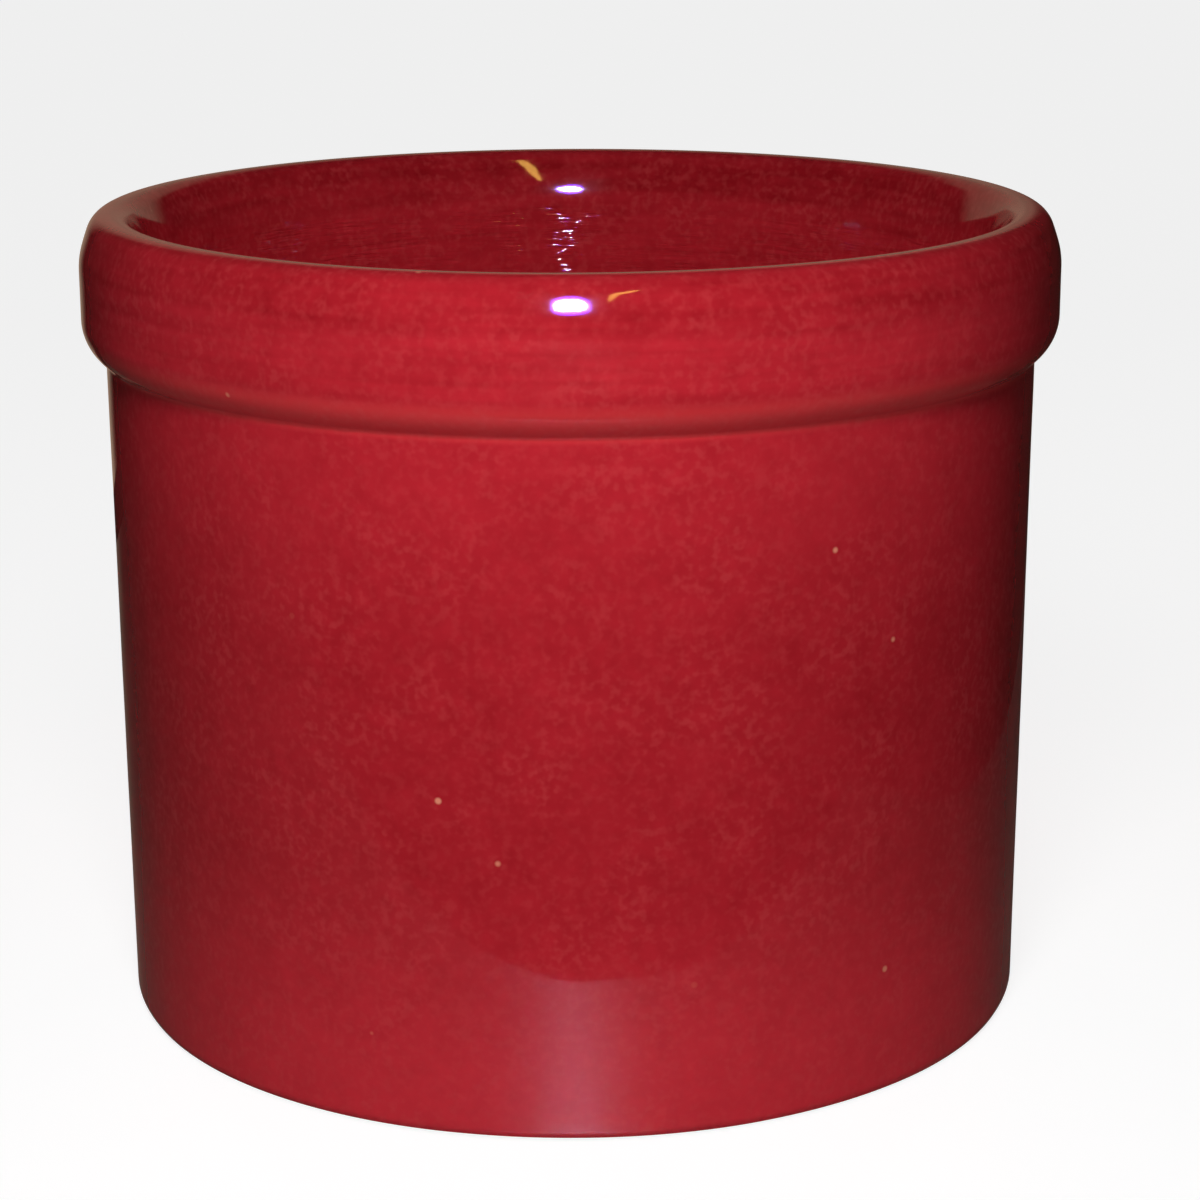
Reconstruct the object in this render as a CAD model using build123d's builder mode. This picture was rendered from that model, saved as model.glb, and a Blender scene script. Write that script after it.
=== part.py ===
"""A short, wide utensil crock in red-glazed stoneware, standing on its foot ring.

The fired clay body is one piece: floor, straight wall, thick rolled collar and foot ring.
Three separate coats of glassy glaze are fused to it: one outside, one inside and one under
the floor. The foot ring and a narrow line beside it stay bare, so that the crock doesn't
stick to the kiln shelf.

Millimetres, +Z up. The origin is on the axis, on the surface that the crock stands on.
Every section is drawn to the right of the axis and turned through a full circle. Sizes are
taken on the glazed surface, and the clay lies one coat's thickness below it.
"""

import math
import os

from build123d import *

# Body: a nearly straight wall, measured just under the collar, and a flat floor
height = 147.0
body_radius = 84.8
base_taper = 0.8
wall_thickness = 8.3
floor_thickness = 7.5
floor_corner_radius = 9.0

# Rolled collar
collar_overhang = 4.2
collar_height = 26.0

# Rim: bends that run on from each other, from the narrow flat on top down to each straight face.
# A bend is its radius, as a multiple of the first bend's, and its turn in degrees. Outside, a
# shoulder leads to a gentle bevel and a brow. Inside, a lip leads to the flare of the mouth.
shoulder_share = 0.45
shoulder_bends = ((1.0, 69.6), (14.15, 3.0), (3.3, 17.4))
lip_share = 0.486
lip_bends = ((1.0, 64.0), (10.16, 26.0))

# Underside of the collar, and the hollow corner where it meets the wall
underside_radius = 8.5
junction_radius = 1.2

# Foot ring, and the recess inside it
base_edge_radius = 2.5
foot_width = 7.0
foot_chamfer = 0.5
recess_depth = 3.0
recess_corner_share = 0.4

# Glaze coats, and the share of the height beside the foot that they leave bare
glaze_thickness = 0.5
bare_share = 0.4

# Places along the wall and the collar
collar_radius = body_radius + collar_overhang
bore_radius = body_radius - wall_thickness
base_radius = body_radius - base_taper
floor_level = recess_depth + floor_thickness
underside_centre = collar_radius - underside_radius
underside_rise = math.sqrt(underside_radius**2 - (body_radius - underside_centre) ** 2)
underside_level = height - collar_height + underside_rise

# Places around the rim
rim_width = collar_radius - bore_radius
shoulder_radius = collar_radius - shoulder_share * rim_width
lip_radius = bore_radius + lip_share * rim_width
crest_radius = (shoulder_radius + lip_radius) / 2

# Places around the foot
foot_outer_radius = base_radius - base_edge_radius
foot_inner_radius = foot_outer_radius - foot_width
edge_level = base_edge_radius - glaze_thickness
recess_corner_radius = recess_corner_share * recess_depth
recess_corner_level = recess_depth - recess_corner_radius

full_turn = 360.0
quarter_turn = full_turn / 4


def bend_radii(bends, width):
    """The radius of each bend of a rim, so that together they reach a width outward."""
    reach = 0
    turned = 0
    for ratio, turn in bends:
        start = math.radians(turned)
        turned += turn
        reach += ratio * (math.sin(math.radians(turned)) - math.sin(start))
    return [ratio * width / reach for ratio, turn in bends]


def draw_rim(skin, start_radius, bends, width, side):
    """The bends from the crest to one side, outward at side 1 and inward at side -1."""
    start = (start_radius, height - skin)
    heading = (side, 0)
    for (ratio, turn), radius in zip(bends, bend_radii(bends, width)):
        bend = JernArc(start, heading, radius - skin, -side * turn)
        start = bend @ 1
        heading = bend % 1
    return start


def wall_top(skin):
    """Where the wall meets the collar's underside, skin below the glazed surface."""
    radius = body_radius - skin
    rise = math.sqrt((underside_radius - skin) ** 2 - (radius - underside_centre) ** 2)
    return radius, underside_level - rise


def draw_outside(skin):
    """The outside, from the bottom of the wall up to the crest."""
    arc_radius = underside_radius - skin
    turn = math.degrees(math.acos((wall_top(skin)[0] - underside_centre) / arc_radius))
    Line((base_radius - skin, edge_level), wall_top(skin))
    CenterArc((underside_centre, underside_level), arc_radius, -turn, turn)
    face_top = draw_rim(skin, shoulder_radius, shoulder_bends, collar_radius - shoulder_radius, 1)
    Line((collar_radius - skin, underside_level), face_top)
    Line((shoulder_radius, height - skin), (crest_radius, height - skin))


def draw_base_edge(skin, end_share):
    """The rounded bottom edge of the wall, down to a share of its height."""
    radius = base_edge_radius - skin
    turn = math.degrees(math.asin((1 - end_share) * edge_level / radius))
    return CenterArc((foot_outer_radius, edge_level), radius, -turn, turn) @ 0


def draw_inside(skin):
    """The inside, from the crest over the lip, down the wall and in to the axis."""
    corner_level = floor_level + floor_corner_radius
    flat_radius = bore_radius - floor_corner_radius
    Line((crest_radius, height - skin), (lip_radius, height - skin))
    bore_top = draw_rim(skin, lip_radius, lip_bends, lip_radius - bore_radius, -1)
    Line(bore_top, (bore_radius + skin, corner_level))
    CenterArc((flat_radius, corner_level), floor_corner_radius + skin, 0, -quarter_turn)
    Line((flat_radius, floor_level - skin), (0, floor_level - skin))
    return bore_top


def draw_recess(skin, end_level):
    """The recess under the floor, from the axis out to its wall and down to a level."""
    wall_radius = foot_inner_radius - glaze_thickness + skin
    corner_radius = recess_corner_radius + skin
    flat_radius = wall_radius - corner_radius
    end = (wall_radius, end_level)
    Line((0, recess_depth + skin), (flat_radius, recess_depth + skin))
    CenterArc((flat_radius, recess_corner_level), corner_radius, quarter_turn, -quarter_turn)
    Line((wall_radius, recess_corner_level), end)
    return end


def round_junction(section, skin):
    """Rounds the hollow corner under the collar in a section's outline."""
    corner = section.vertices().sort_by_distance(wall_top(skin))[0]
    fillet(corner, junction_radius + skin)


# Fired clay body: floor, wall, collar and foot ring in one piece
with BuildPart() as stoneware_body:
    with BuildSketch(Plane.XZ) as clay_section:
        with BuildLine():
            draw_outside(glaze_thickness)
            draw_inside(glaze_thickness)
            draw_base_edge(glaze_thickness, 0)
            recess_end = draw_recess(glaze_thickness, foot_chamfer)
            Polyline(recess_end, (foot_inner_radius + foot_chamfer, 0), (foot_outer_radius, 0))
            Line((0, recess_depth + glaze_thickness), (0, floor_level - glaze_thickness))
        make_face()
        round_junction(clay_section, glaze_thickness)
    revolve(axis=Axis.Z)
stoneware_body.part.label = "stoneware_body"

# Outer glaze: from the bare line above the foot, up the wall and the collar to the crest
with BuildPart() as outer_glaze:
    with BuildSketch(Plane.XZ) as outer_section:
        with BuildLine():
            draw_outside(0)
            draw_outside(glaze_thickness)
            Line(draw_base_edge(0, bare_share), draw_base_edge(glaze_thickness, bare_share))
            Line((crest_radius, height), (crest_radius, height - glaze_thickness))
        make_face()
        round_junction(outer_section, 0)
        round_junction(outer_section, glaze_thickness)
    revolve(axis=Axis.Z)
outer_glaze.part.label = "outer_glaze"

# Inner glaze: from the crest over the lip, down the wall and across the floor
with BuildPart() as inner_glaze:
    with BuildSketch(Plane.XZ):
        with BuildLine():
            mouth = draw_inside(0)
            draw_inside(glaze_thickness)
            Line((crest_radius, height), (crest_radius, height - glaze_thickness))
            Line((0, floor_level), (0, floor_level - glaze_thickness))
        make_face()
    revolve(axis=Axis.Z)
inner_glaze.part.label = "inner_glaze"

# Underside glaze: lines the recess, and stops short of the foot ring's face
recess_glaze_level = bare_share * recess_corner_level
with BuildPart() as underside_glaze:
    with BuildSketch(Plane.XZ):
        with BuildLine():
            surface_end = draw_recess(0, recess_glaze_level)
            clay_end = draw_recess(glaze_thickness, recess_glaze_level)
            Line(surface_end, clay_end)
            Line((0, recess_depth), (0, recess_depth + glaze_thickness))
        make_face()
    revolve(axis=Axis.Z)
underside_glaze.part.label = "underside_glaze"

os.makedirs("parts", exist_ok=True)
export_step(stoneware_body.part, "parts/stoneware_body.step")
export_step(outer_glaze.part, "parts/outer_glaze.step")
export_step(inner_glaze.part, "parts/inner_glaze.step")
export_step(underside_glaze.part, "parts/underside_glaze.step")

for piece in (stoneware_body, outer_glaze, inner_glaze, underside_glaze):
    box = piece.part.bounding_box()
    print(f"{piece.part.label}: {piece.part.volume:.0f} mm3, {box.min} to {box.max}")
print(f"mouth: radius {bore_radius:.2f}, straight from {floor_level + floor_corner_radius:.2f}")
print(f"mouth: to {mouth.Y:.2f}, floor at {floor_level:.2f}")
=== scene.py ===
import math

import bmesh
import bpy
from mathutils import Matrix, Vector, noise


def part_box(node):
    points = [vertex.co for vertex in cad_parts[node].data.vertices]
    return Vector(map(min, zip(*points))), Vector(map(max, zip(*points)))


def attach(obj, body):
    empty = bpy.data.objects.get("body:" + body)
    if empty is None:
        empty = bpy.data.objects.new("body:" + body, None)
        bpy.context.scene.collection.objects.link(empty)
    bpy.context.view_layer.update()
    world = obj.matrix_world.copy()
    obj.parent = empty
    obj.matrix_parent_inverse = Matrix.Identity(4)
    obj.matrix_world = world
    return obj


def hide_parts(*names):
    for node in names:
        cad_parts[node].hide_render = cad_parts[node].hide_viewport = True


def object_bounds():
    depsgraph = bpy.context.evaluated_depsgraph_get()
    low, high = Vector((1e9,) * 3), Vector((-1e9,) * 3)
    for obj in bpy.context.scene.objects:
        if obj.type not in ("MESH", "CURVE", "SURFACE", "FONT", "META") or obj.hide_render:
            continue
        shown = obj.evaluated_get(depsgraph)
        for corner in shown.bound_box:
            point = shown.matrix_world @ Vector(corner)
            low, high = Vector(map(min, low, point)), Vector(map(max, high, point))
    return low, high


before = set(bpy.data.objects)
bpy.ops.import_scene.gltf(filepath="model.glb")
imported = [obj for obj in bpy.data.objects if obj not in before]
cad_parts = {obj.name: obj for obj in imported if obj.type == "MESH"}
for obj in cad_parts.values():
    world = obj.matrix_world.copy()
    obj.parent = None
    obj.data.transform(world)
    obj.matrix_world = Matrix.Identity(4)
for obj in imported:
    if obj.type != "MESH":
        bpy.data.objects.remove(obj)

cad_low, cad_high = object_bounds()

# The clay body: floor, wall, collar and foot ring of buff stoneware, formed and fired as one piece.
# Glaze covers nearly all of it. Bare clay shows only on the foot ring and in the line above it,
# where the glaze was wiped off before the firing so that the crock doesn't stick to the shelf.
clay_pale = (0.56, 0.43, 0.30, 1.0)
clay_toasted = (0.36, 0.22, 0.12, 1.0)
clay_iron = (0.10, 0.045, 0.02, 1.0)
clay_grain_size = 0.0008
clay_cloud_size = 0.012
clay_fleck_size = 0.0035
clay_toast_range = (0.12, 0.4)
clay_fleck_range = (0.68, 0.72)
clay_roughness = 0.85
clay_relief_depth = 0.0002
clay_relief_strength = 0.6


def add_node(tree, kind, inputs=(), **settings):
    """A node with its settings. An input is a value, or the socket that feeds it."""
    node = tree.nodes.new(kind)
    for name, value in settings.items():
        setattr(node, name, value)
    for key, value in dict(inputs).items():
        if isinstance(value, bpy.types.NodeSocket):
            tree.links.new(value, node.inputs[key])
        else:
            node.inputs[key].default_value = value
    return node


def add_math(tree, operation, *values):
    """The output of a Math node."""
    node = add_node(tree, "ShaderNodeMath", dict(enumerate(values)), operation=operation)
    return node.outputs["Value"]


def add_noise(tree, place, size, detail=2.0):
    """A noise between 0 and 1, about 0.5, with lumps of a size in metres."""
    inputs = {"Vector": place, "Scale": 1 / size, "Detail": detail}
    return add_node(tree, "ShaderNodeTexNoise", inputs).outputs["Fac"]


def add_range(tree, value, low, high, to_low=0.0, to_high=1.0):
    """A value eased from one range to another, and held at its ends."""
    inputs = {"Value": value, "From Min": low, "From Max": high, "To Min": to_low, "To Max": to_high}
    node = add_node(tree, "ShaderNodeMapRange", inputs, interpolation_type="SMOOTHSTEP")
    return node.outputs["Result"]


def add_mix(tree, share, first, second):
    """One colour turning into another."""
    inputs = {"Fac": share, "Color1": first, "Color2": second}
    return add_node(tree, "ShaderNodeMixRGB", inputs).outputs["Color"]


def new_material(name, inputs=()):
    """A material whose Principled shader has these inputs, and is wired to its output."""
    material = bpy.data.materials.new(name)
    material.use_nodes = True
    tree = material.node_tree
    tree.nodes.clear()
    shader = add_node(tree, "ShaderNodeBsdfPrincipled", inputs)
    add_node(tree, "ShaderNodeOutputMaterial", {"Surface": shader.outputs["BSDF"]})
    return material, tree, shader


def add_relief(tree, shader, raised, strength, depth):
    """Relief on a shader, where raised is a height in multiples of a depth in metres."""
    bump = add_node(tree, "ShaderNodeBump", {"Height": raised, "Strength": strength, "Distance": depth})
    tree.links.new(bump.outputs["Normal"], shader.inputs["Normal"])


bare_clay, tree, shader = new_material("bare_clay", {"Roughness": clay_roughness})
place = add_node(tree, "ShaderNodeTexCoord").outputs["Object"]
grain = add_noise(tree, place, clay_grain_size, detail=3.0)
cloud = add_noise(tree, place, clay_cloud_size)
toast = add_range(tree, add_math(tree, "MULTIPLY", grain, cloud), *clay_toast_range)
tone = add_mix(tree, toast, clay_toasted, clay_pale)
fleck = add_range(tree, add_noise(tree, place, clay_fleck_size, detail=1.0), *clay_fleck_range)
tone = add_mix(tree, fleck, tone, clay_iron)
tree.links.new(tone, shader.inputs["Base Color"])
add_relief(tree, shader, grain, clay_relief_strength, clay_relief_depth)
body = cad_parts["stoneware_body"]
body.data.materials.clear()
body.data.materials.append(bare_clay)

# The outer glaze: a glassy red coat half a millimetre thick, sprayed on and melted to the clay.
# It runs from the crest of the rim, over the collar and down the wall to the bare line above the foot.
# It is lighter near the foot and on the upper wall and darker between, which is painted light and shade, and
# darker towards the crest. Under the collar it has pooled, and its paler colour there is partly painted
# light on the shaded underside. It is specked all over.
glaze = 0.0005
height = cad_high.z
crest_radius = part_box("inner_glaze")[1].x
crest_flat = 0.0008
collar_radius = cad_high.x
collar_height = 0.026
underside_radius = 0.0085
junction_radius = 0.0012
wall_radius = 0.0848
base_taper = 0.0008
base_edge_radius = 0.0025
base_edge_turn = math.radians(40)

# Bends that run on from each other: a radius, as a multiple of the first, a turn in degrees and its steps
shoulder_bends = ((1.0, 69.6, 16), (14.15, 3.0, 4), (3.3, 17.4, 5))

wave_depth = 0.00015
wave_length = 0.035
ripple_depth = 0.00004
ripple_length = 0.011
wave_reach = 0.004
sharp_edge = math.radians(40)
round_steps = 288
quarter = math.pi / 2


class Section:
    """A section of a turned surface, drawn run by run to the right of the axis."""

    def __init__(self, radius, level, heading):
        self.bm = bmesh.new()
        self.last = self.bm.verts.new((radius, 0, level))
        self.heading = heading

    def toward(self, turn):
        """The direction at an angle to the left of the heading."""
        angle = self.heading + turn
        return Vector((math.cos(angle), 0, math.sin(angle)))

    def run(self, length, steps):
        """A straight run."""
        for _ in range(steps):
            made = bmesh.ops.extrude_vert_indiv(self.bm, verts=[self.last])
            self.last = made["verts"][0]
            self.last.co += self.toward(0) * length / steps

    def bend(self, radius, turn, steps):
        """An arc, to the left where turn is positive."""
        centre = self.last.co + self.toward(math.copysign(quarter, turn)) * radius
        made = bmesh.ops.spin(
            self.bm,
            geom=[self.last],
            cent=centre,
            axis=(0, -1, 0),
            angle=turn,
            steps=steps,
        )
        self.last = next(part for part in made["geom_last"] if isinstance(part, bmesh.types.BMVert))
        self.heading += turn

    def roll(self, bends, width, side):
        """Bends that together reach a width across, to the left at side 1 and to the right at -1."""
        reach = 0
        turned = 0
        for ratio, turn, _ in bends:
            start = turned
            turned += math.radians(turn)
            reach += ratio * (math.sin(turned) - math.sin(start))
        for ratio, turn, steps in bends:
            self.bend(ratio * width / reach, side * math.radians(turn), steps)


def wave(place, length):
    """A smooth wave of a length, between 0 and 1."""
    return (noise.noise(place / length) + 1) / 2


def fire_glaze(name, bm, material, node, reach=wave_reach):
    """A closed coat of glaze turned from a section. Its slight waves fade within reach of the crest."""
    bmesh.ops.spin(
        bm,
        geom=bm.verts[:] + bm.edges[:],
        cent=(0, 0, 0),
        axis=(0, 0, 1),
        angle=math.tau,
        steps=round_steps,
        use_merge=True,
    )
    bmesh.ops.remove_doubles(bm, verts=bm.verts, dist=glaze / 1000)
    bmesh.ops.recalc_face_normals(bm, faces=bm.faces)
    skin = bm.verts[:]
    bmesh.ops.solidify(bm, geom=bm.faces[:], thickness=glaze)
    bm.normal_update()
    for vert in skin:
        radius = math.hypot(vert.co.x, vert.co.y)
        off_crest = min(1, math.hypot(radius - crest_radius, vert.co.z - height) / reach)
        depth = wave_depth * wave(vert.co, wave_length) + ripple_depth * wave(vert.co, ripple_length)
        vert.co -= vert.normal * off_crest**2 * depth
    for face in bm.faces:
        face.smooth = True
    for edge in bm.edges:
        edge.smooth = edge.calc_face_angle() < sharp_edge
    mesh = bpy.data.meshes.new(name)
    bm.to_mesh(mesh)
    bm.free()
    mesh.materials.append(material)
    piece = bpy.data.objects.new(name, mesh)
    bpy.context.collection.objects.link(piece)
    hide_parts(node)
    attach(piece, "root")


# Colours and patterns of the glaze. Noises have a size, in metres, and bands a number to the metre
# along X, Y and Z. A zone is two levels, or two values of a noise, and what each turns into.
glaze_deep = (0.27, 0.0060, 0.0105, 1.0)
glaze_bright = (0.665, 0.028, 0.0445, 1.0)
glaze_speck = (0.64, 0.075, 0.078, 1.0)
# The pool's paler colour is partly glaze pooled under the collar and partly painted light on the collar's
# shaded underside
glaze_pool_and_painted_light = (0.68, 0.040, 0.046, 1.0)
glaze_pit = (0.75, 0.26, 0.16, 1.0)
middle_tone = 0.5
cloud_size = 0.045
cloud_weight = 0.17
mottle_size = 0.009
mottle_weight = 0.22
blotch_size = 0.003
blotch_weight = 0.3
brush_bands = (22.0, 22.0, 420.0)
brush_zone = (0.119, 0.127, 0.06, 0.6)
speck_size = 0.0014
speck_zone = (0.4, 0.75, 0.0, 1.0)
speck_patch_size = 0.011
speck_patch_zone = (0.3, 0.7, 0.1, 0.24)
pit_spacing = 0.011
pit_edge_zone = (0.03, 0.07, 1.0, 0.0)
pit_chosen_zone = (0.78, 0.9, 0.0, 1.0)
peel_size = 0.0045
peel_depth = 0.00002
ring_bands = (160.0, 160.0, 1500.0)
ring_patch_size = 0.006
ring_patch_zone = (0.34, 0.6, 0.0, 1.0)
ring_zone = (0.1345, 0.1365, 1.0, 0.0)
roughness_zone = (0.1445, 0.1468, 0.05, 0.2)
glaze_index = 1.5
# The outside's painted light and shade by height: lighter at the foot, darker on the middle of the wall,
# lighter above it, then the brow darker towards the crest
foot_painted_light_zone = (0.004, 0.05, 0.37, -0.09)
wall_painted_light_zone = (0.075, 0.12, -0.10, 0.12)
brow_zone = (0.1355, 0.141, 0.0, -0.2)
pool_and_light_start_zone = (0.1195, 0.121, 0.0, 1.0)
pool_and_light_end_zone = (0.125, 0.1275, 1.0, 0.0)
pool_and_light_weight = 0.8


def add_bands(tree, place, bands):
    """A noise between 0 and 1, drawn out into level bands."""
    inputs = {0: place, 1: bands}
    scaled = add_node(tree, "ShaderNodeVectorMath", inputs, operation="MULTIPLY")
    return add_noise(tree, scaled.outputs["Vector"], 1)


def add_swing(tree, value):
    """A noise moved to lie about 0, so that it darkens as much as it lightens."""
    return add_math(tree, "SUBTRACT", value, 0.5)


# The glaze's colour: painted light and shade fed in as Shade, clouds, mottling, blotches and brushed bands,
# then the pool, partly painted light, specks and pinholes
fired = bpy.data.node_groups.new("fired_glaze", "ShaderNodeTree")
fired.interface.new_socket("Place", in_out="INPUT", socket_type="NodeSocketVector")
for name in ("Shade", "PoolAndLight", "Rings"):
    fired.interface.new_socket(name, in_out="INPUT", socket_type="NodeSocketFloat")
fired.interface.new_socket("Color", in_out="OUTPUT", socket_type="NodeSocketColor")
fired.interface.new_socket("Height", in_out="OUTPUT", socket_type="NodeSocketFloat")
given = add_node(fired, "NodeGroupInput").outputs
place = given["Place"]
level = add_node(fired, "ShaderNodeSeparateXYZ", {"Vector": place}).outputs["Z"]
bands = add_swing(fired, add_bands(fired, place, brush_bands))
bands = add_math(fired, "MULTIPLY", bands, add_range(fired, level, *brush_zone))
total = add_math(fired, "ADD", given["Shade"], middle_tone)
total = add_math(fired, "ADD", total, bands)
for size, weight in ((cloud_size, cloud_weight), (mottle_size, mottle_weight), (blotch_size, blotch_weight)):
    swing = add_swing(fired, add_noise(fired, place, size))
    total = add_math(fired, "MULTIPLY_ADD", swing, weight, total)
tone = add_mix(fired, total, glaze_deep, glaze_bright)
tone = add_mix(fired, given["PoolAndLight"], tone, glaze_pool_and_painted_light)
specks = add_range(fired, add_noise(fired, place, speck_size, detail=1.0), *speck_zone)
dense = add_range(fired, add_noise(fired, place, speck_patch_size), *speck_patch_zone)
tone = add_mix(fired, add_math(fired, "MULTIPLY", specks, dense), tone, glaze_speck)
cells = add_node(fired, "ShaderNodeTexVoronoi", {"Vector": place, "Scale": 1 / pit_spacing})
chosen = add_node(fired, "ShaderNodeSeparateColor", {"Color": cells.outputs["Color"]}).outputs["Red"]
pits = add_range(fired, cells.outputs["Distance"], *pit_edge_zone)
pits = add_math(fired, "MULTIPLY", pits, add_range(fired, chosen, *pit_chosen_zone))
tone = add_mix(fired, pits, tone, glaze_pit)

# The glaze's relief: orange peel, pinholes, and throwing rings that come and go below the lip
peel = add_noise(fired, place, peel_size, detail=1.0)
rings = add_swing(fired, add_bands(fired, place, ring_bands))
patches = add_range(fired, add_noise(fired, place, ring_patch_size), *ring_patch_zone)
for share in (patches, add_range(fired, level, *ring_zone), given["Rings"]):
    rings = add_math(fired, "MULTIPLY", rings, share)
raised = add_math(fired, "ADD", add_math(fired, "SUBTRACT", peel, pits), rings)
add_node(fired, "NodeGroupOutput", {"Color": tone, "Height": raised})


def glaze_material(name):
    """A glassy red glaze, rougher at the crest. The caller feeds the group's Shade, Pool and Rings."""
    material, tree, shader = new_material(name, {"IOR": glaze_index})
    place = add_node(tree, "ShaderNodeTexCoord").outputs["Object"]
    level = add_node(tree, "ShaderNodeSeparateXYZ", {"Vector": place}).outputs["Z"]
    group = add_node(tree, "ShaderNodeGroup", node_tree=fired)
    tree.links.new(place, group.inputs["Place"])
    tree.links.new(group.outputs["Color"], shader.inputs["Base Color"])
    tree.links.new(add_range(tree, level, *roughness_zone), shader.inputs["Roughness"])
    add_relief(tree, shader, group.outputs["Height"], 1.0, peel_depth)
    return material, tree, group, level


red_outside, tree, group, level = glaze_material("red_glaze_outside")
# Painted light and shade by height, with the brow darker towards the crest
shade = add_math(tree, "ADD", add_range(tree, level, *foot_painted_light_zone), add_range(tree, level, *wall_painted_light_zone))
shade = add_math(tree, "ADD", shade, add_range(tree, level, *brow_zone))
tree.links.new(shade, group.inputs["Shade"])
# Under the collar the glaze pools, and its paler colour there is partly painted light on the shaded
# underside
pool_and_light_start = add_range(tree, level, *pool_and_light_start_zone)
pool_and_light = add_math(tree, "MULTIPLY", pool_and_light_start, add_range(tree, level, *pool_and_light_end_zone))
tree.links.new(add_math(tree, "MULTIPLY", pool_and_light, pool_and_light_weight), group.inputs["PoolAndLight"])

# The arcs of the underside and of the hollow junction touch, so their radii and centres give the turn
underside_centre = collar_radius - underside_radius
underside_rise = math.sqrt(underside_radius**2 - (wall_radius - underside_centre) ** 2)
underside_level = height - collar_height + underside_rise
between_centres = wall_radius + junction_radius - underside_centre
underside_turn = math.acos(between_centres / (underside_radius + junction_radius))

outer = Section(crest_radius, height, 0)
outer.run(crest_flat / 2, steps=1)
outer.roll(shoulder_bends, collar_radius - outer.last.co.x, side=-1)
outer.run(outer.last.co.z - underside_level, steps=6)
outer.bend(underside_radius, -underside_turn, steps=12)
lean = math.atan(base_taper / outer.last.co.z)
outer.bend(junction_radius, underside_turn - lean, steps=8)
outer.run((outer.last.co.z - base_edge_radius + glaze) / math.cos(lean), steps=64)
outer.bend(base_edge_radius, lean - base_edge_turn, steps=5)
fire_glaze("glaze_outside", outer.bm, red_outside, "outer_glaze")

# The inner glaze: the same coat, poured inside, over the lip and down the wall to the floor.
# It was swilled around and tipped out, and it is thin enough that fine throwing rings show through it.
bore_radius = 0.0765
lip_bends = ((1.0, 64.0, 14), (10.16, 26.0, 12))
floor_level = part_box("inner_glaze")[0].z + glaze
floor_corner_radius = 0.009
inside_wave_reach = 0.03
# The glaze inside, and under the floor, is painted darker, and darker still towards the lip: painted shade
inside_painted_shade_zone = (0.132, 0.1455, -0.12, -0.36)
ring_strength = 19.0

red_inside, tree, group, level = glaze_material("red_glaze_inside")
tree.links.new(add_range(tree, level, *inside_painted_shade_zone), group.inputs["Shade"])
group.inputs["Rings"].default_value = ring_strength

inner = Section(crest_radius, height, math.pi)
inner.run(crest_flat / 2, steps=1)
inner.roll(lip_bends, inner.last.co.x - bore_radius, side=1)
inner.run(inner.last.co.z - floor_level - floor_corner_radius, steps=56)
inner.bend(floor_corner_radius, -quarter, steps=12)
inner.run(inner.last.co.x, steps=32)
fire_glaze("glaze_inside", inner.bm, red_inside, "inner_glaze", inside_wave_reach)

# The underside glaze: the same coat in the recess under the floor, inside the bare foot ring.
# It was brushed on last, once the foot ring had been wiped clean.
recess_low, recess_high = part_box("underside_glaze")
recess_depth = recess_high.z - glaze
recess_radius = recess_high.x - glaze
recess_corner_radius = 0.0012

hidden = Section(0, recess_depth, 0)
hidden.run(recess_radius - recess_corner_radius, steps=32)
hidden.bend(recess_corner_radius, -quarter, steps=6)
hidden.run(hidden.last.co.z - recess_low.z, steps=2)
fire_glaze("glaze_underside", hidden.bm, red_inside, "underside_glaze")

# The set: a plain pale floor, and cards that only the glaze's reflections see.
# The cards are a dim table under the crock, a tan wall behind it and a dark room around them.
# Each lies a hair above the one below, so that no two faces fight.
matt = {"Roughness": 1.0, "Specular IOR Level": 0.0}
white = (1.0, 1.0, 1.0, 1.0)
floor_tone = (0.26, 0.26, 0.26, 1.0)
floor_lift = 0.86
floor_radius = 12.0
floor_sides = 96
ground_level = -0.0001


def new_stage(name, bm, material):
    """A finished piece of the set."""
    mesh = bpy.data.meshes.new(name)
    bm.to_mesh(mesh)
    bm.free()
    mesh.materials.append(material)
    piece = bpy.data.objects.new(name, mesh)
    bpy.context.collection.objects.link(piece)
    return piece


def add_seen(tree):
    """1 for the camera and for whatever mirrors or lets through the background, else 0."""
    path = add_node(tree, "ShaderNodeLightPath")
    seen = add_math(tree, "MAXIMUM", path.outputs["Is Camera Ray"], path.outputs["Is Glossy Ray"])
    return add_math(tree, "MAXIMUM", seen, path.outputs["Is Transmission Ray"])


floor_look = {"Base Color": floor_tone, "Emission Color": white, **matt}
pale_floor, tree, shader = new_material("pale_floor", floor_look)
lift = add_math(tree, "MULTIPLY", add_seen(tree), floor_lift)
tree.links.new(lift, shader.inputs["Emission Strength"])
bm = bmesh.new()
bmesh.ops.create_circle(bm, cap_ends=True, segments=floor_sides, radius=floor_radius)
bmesh.ops.translate(bm, verts=bm.verts, vec=(0, 0, ground_level))
new_stage("floor", bm, pale_floor)


def only_mirrored(piece):
    """Makes a card of the set show in reflections and nowhere else."""
    piece.visible_camera = False
    piece.visible_diffuse = False
    piece.visible_transmission = False
    piece.visible_volume_scatter = False
    piece.visible_shadow = False


room_size = (9.0, 9.0, 3.0)
room_level = 0.0002
room_tone = (0.03, 0.025, 0.02, 1.0)
room_glow = {"Emission Color": (1.0, 0.8, 0.6, 1.0), "Emission Strength": 0.008}
dark_room, tree, shader = new_material("dark_room", {"Base Color": room_tone, **room_glow, **matt})
bm = bmesh.new()
bmesh.ops.create_cube(bm, size=1)
bmesh.ops.scale(bm, verts=bm.verts, vec=room_size)
bmesh.ops.translate(bm, verts=bm.verts, vec=(0, 0, room_size[2] / 2 + room_level))
only_mirrored(new_stage("room", bm, dark_room))


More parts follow.
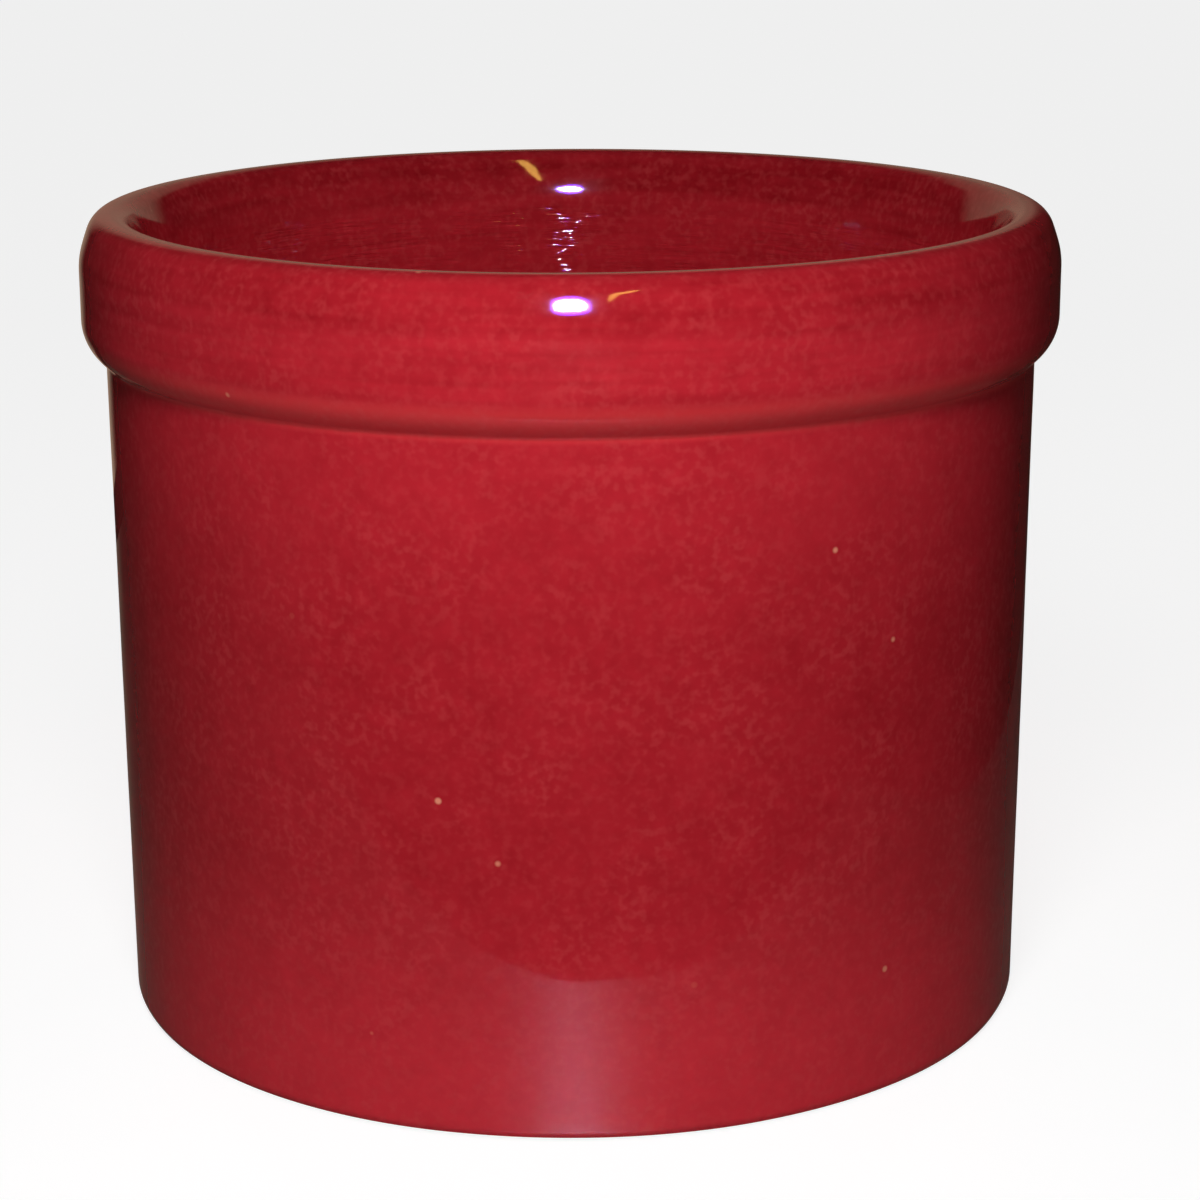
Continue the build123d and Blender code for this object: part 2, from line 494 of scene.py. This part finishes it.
def new_card(width, depth):
    """A flat card that lies about the origin."""
    bm = bmesh.new()
    bmesh.ops.create_grid(bm, x_segments=1, y_segments=1, size=0.5)
    bmesh.ops.scale(bm, verts=bm.verts, vec=(width, depth, 1))
    return bm


# The wall glows with its own tone, lit by no lamp, as a painted reflection, and fades out towards its left
# and right ends
wall_left = -0.30
wall_right = 0.21
wall_fade = 0.10
wall_height = 0.42
wall_distance = 0.40
wall_level = 0.0005
wall_tone = (0.33, 0.23, 0.16, 1.0)
black = (0.0, 0.0, 0.0, 1.0)
tan_wall, tree, shader = new_material("tan_wall", {"Base Color": black, "Emission Color": wall_tone, **matt})
place = add_node(tree, "ShaderNodeTexCoord").outputs["Object"]
across = add_node(tree, "ShaderNodeSeparateXYZ", {"Vector": place}).outputs["X"]
left_end = add_range(tree, across, wall_left, wall_left + wall_fade)
right_end = add_range(tree, across, wall_right - wall_fade, wall_right, 1.0, 0.0)
tree.links.new(add_math(tree, "MULTIPLY", left_end, right_end), shader.inputs["Emission Strength"])
bm = new_card(wall_right - wall_left, wall_height)
bmesh.ops.rotate(bm, verts=bm.verts, cent=(0, 0, 0), matrix=Matrix.Rotation(quarter, 3, "X"))
wall_place = ((wall_left + wall_right) / 2, wall_distance, wall_height / 2 + wall_level)
bmesh.ops.translate(bm, verts=bm.verts, vec=wall_place)
only_mirrored(new_stage("wall_card", bm, tan_wall))

# The table is turned a little about the point of its front edge that lies before the crock
table_width = 0.67
table_depth = 0.5
table_across = -0.115
table_front = -0.153
table_level = 0.0004
table_turn = math.radians(6.9)
table_look = {"Base Color": (0.18, 0.15, 0.12, 1.0), "Roughness": 0.38, "IOR": 2.3}
dim_table, tree, shader = new_material("dim_table", table_look)
bm = new_card(table_width, table_depth)
bmesh.ops.translate(bm, verts=bm.verts, vec=(table_across, table_depth / 2 + table_front, table_level))
turn = Matrix.Rotation(table_turn, 3, "Z")
bmesh.ops.rotate(bm, verts=bm.verts, cent=(0, table_front, 0), matrix=turn)
only_mirrored(new_stage("table_card", bm, dim_table))

# The lamps: five soft ones light the crock and don't show in its glaze. They are a key beside the
# camera, a low fill in front, a pair behind and one above the mouth. Three bright ones show in the
# glaze and light nothing: the flash, its violet fringe and a long orange tube.
middle = (0, 0, 0.08)
rim_spot = (0, -0.08, 0.142)
back_beam = math.radians(14)
above_beam = math.radians(8)


def add_lamp(name, place, target, power, size, **settings):
    """An oval lamp that faces a target. Its size is a width and a height."""
    lamp = bpy.data.lights.new(name, "AREA")
    lamp.energy = power
    lamp.shape = "ELLIPSE"
    lamp.size, lamp.size_y = size
    for key, value in settings.items():
        setattr(lamp, key, value)
    piece = bpy.data.objects.new(name, lamp)
    piece.location = place
    piece.rotation_euler = (Vector(target) - Vector(place)).to_track_quat("-Z", "Y").to_euler()
    piece.visible_camera = False
    bpy.context.collection.objects.link(piece)
    return piece


soft_lamps = [
    add_lamp("key", place=(-0.026, -0.39, 0.38), target=middle, power=1.45, size=(0.14, 0.14)),
    add_lamp("low_fill", place=(0, -0.75, 0.03), target=middle, power=1.2, size=(0.3, 0.04)),
]
for name, across in (("back_left", -0.6), ("back_right", 0.6)):
    place = (across, 1.25, 0.1)
    soft_lamps.append(add_lamp(name, place, middle, power=0.09, size=(0.2, 0.1), spread=back_beam))
above = add_lamp("above", (0, 0, 1.2), (0, 0, 0), power=0.03, size=(0.03, 0.03), spread=above_beam)
soft_lamps.append(above)
for lamp in soft_lamps:
    lamp.visible_glossy = False

tube_place = Vector((0.57, -2.7, 2.2))
tube_target = (tube_place.x, tube_place.y, 0)
bright_lamps = (
    add_lamp("flash", (0, -0.561, 0.40), rim_spot, power=3.2, size=(0.062, 0.034), color=(1.0, 0.93, 0.92)),
    add_lamp("halo", (0, -0.563, 0.40), rim_spot, power=1.3, size=(0.084, 0.088), color=(0.12, 0.03, 1.0)),
    add_lamp("tube", tube_place, tube_target, power=9.0, size=(0.15, 2.0), color=(1.0, 0.6, 0.12)),
)
for lamp in bright_lamps:
    lamp.visible_diffuse = False

# The surroundings: a plain world with nothing in it, behind the floor and the cards.
# It is near black as a light on the crock, and pale to the camera and in what mirrors it.
world_dark = (0.012, 0.012, 0.012, 1.0)
world_pale = (0.88, 0.88, 0.88, 1.0)
world = bpy.data.worlds.new("room")
bpy.context.scene.world = world
world.use_nodes = True
tree = world.node_tree
tree.nodes.clear()
tone = add_mix(tree, add_seen(tree), world_dark, world_pale)
glow = add_node(tree, "ShaderNodeBackground", {"Color": tone})
add_node(tree, "ShaderNodeOutputWorld", {"Surface": glow.outputs["Background"]})

# The camera: a long lens at arm's length, looking down at the crock.
# It stands square in front of the crock, and is panned and rolled by less than a degree.
lens = 92.49
sensor_width = 36
camera_place = (0, -0.5615, 0.2220)
camera_pan = math.radians(-0.527)
camera_dip = math.radians(14.96)
camera_roll = math.radians(-0.2)
camera_data = bpy.data.cameras.new("camera")
camera_data.lens = lens
camera_data.sensor_width = sensor_width
camera = bpy.data.objects.new("camera", camera_data)
camera.location = camera_place
pan = Matrix.Rotation(camera_pan, 3, "Z")
dip = Matrix.Rotation(quarter - camera_dip, 3, "X")
roll = Matrix.Rotation(camera_roll, 3, "Z")
camera.rotation_euler = (pan @ dip @ roll).to_euler()
bpy.context.collection.objects.link(camera)
bpy.context.scene.camera = camera
bpy.context.scene.view_settings.view_transform = "Standard"
